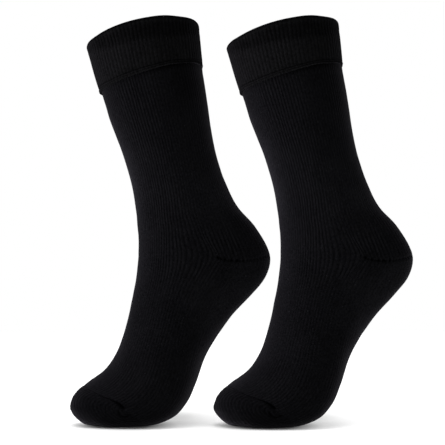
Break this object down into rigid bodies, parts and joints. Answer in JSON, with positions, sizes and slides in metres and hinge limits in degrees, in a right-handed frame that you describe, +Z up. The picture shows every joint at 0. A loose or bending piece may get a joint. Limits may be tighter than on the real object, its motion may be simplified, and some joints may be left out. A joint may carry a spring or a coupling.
{
  "type": "pair of socks",
  "caption": "Pair of plain ribbed crew socks with doubled cuffs, hollow and filled out as if worn, side by side on tiptoe.",
  "frame": {"origin": "midway between the centres of the two ankles, where the wearer holds the pair up", "axes": "+Z up, +X from the toes to the heels, +Y across the feet"},
  "size_m": [0.3051, 0.1012, 0.3613],
  "materials": {
    "cuff_knit": "matt black knit with fine vertical ribs, doubled",
    "body_knit": "matt black knit with fine vertical ribs and a soft sheen at the edges"
  },
  "bodies": {
    "root": {"left_cuff": "cuff_knit", "left_leg": "body_knit", "left_heel": "body_knit", "left_foot": "body_knit", "left_toe": "body_knit", "right_cuff": "cuff_knit", "right_leg": "body_knit", "right_heel": "body_knit", "right_foot": "body_knit", "right_toe": "body_knit"}
  },
  "joints": []
}
